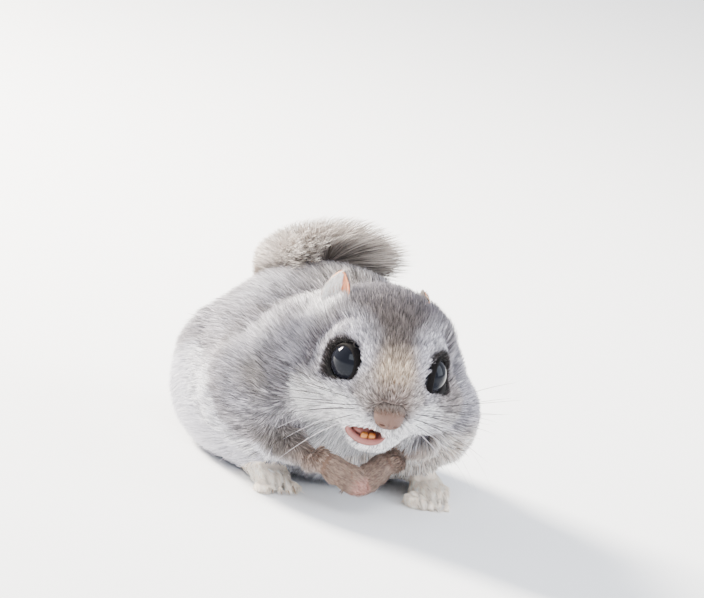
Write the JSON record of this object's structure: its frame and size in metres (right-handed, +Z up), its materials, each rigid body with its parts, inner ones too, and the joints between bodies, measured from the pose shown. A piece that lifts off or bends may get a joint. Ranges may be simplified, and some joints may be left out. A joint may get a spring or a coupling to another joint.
{
  "type": "flying squirrel",
  "caption": "Small gliding squirrel with large dark eyes, crouched with its hands held together below its chin and its flat bushy tail laid over its back.",
  "frame": {"origin": "middle of the footprint's bounding box, on the floor the animal sits on", "axes": "+Z up, the animal faces -Y, its left side is +X"},
  "size_m": [0.0814, 0.1128, 0.0687],
  "materials": {
    "coat": "soft silver-grey fur",
    "ear": "thin skin with fine fur",
    "eye": "wet black",
    "foot": "short cream fur",
    "hand": "short grey-brown fur",
    "haunch": "soft white fur",
    "jaw": "short white fur",
    "nose": "bare skin, slightly moist",
    "tail": "long soft buff-grey hair",
    "tongue": "moist"
  },
  "bodies": {
    "root": {"head": "coat", "jaw": "jaw", "tongue": "tongue", "nose": "nose", "eye_left": "eye", "eye_right": "eye", "ear_left": "ear", "ear_right": "ear", "neck": "coat", "torso": "coat", "haunch_left": "haunch", "haunch_right": "haunch", "patagium_left": "coat", "patagium_right": "coat", "foreleg_left": "coat", "foreleg_right": "coat", "hand_left": "hand", "hand_right": "hand", "foot_left": "foot", "foot_right": "foot", "tail_root": "tail", "tail_middle": "tail", "tail_tip": "tail"}
  },
  "joints": []
}
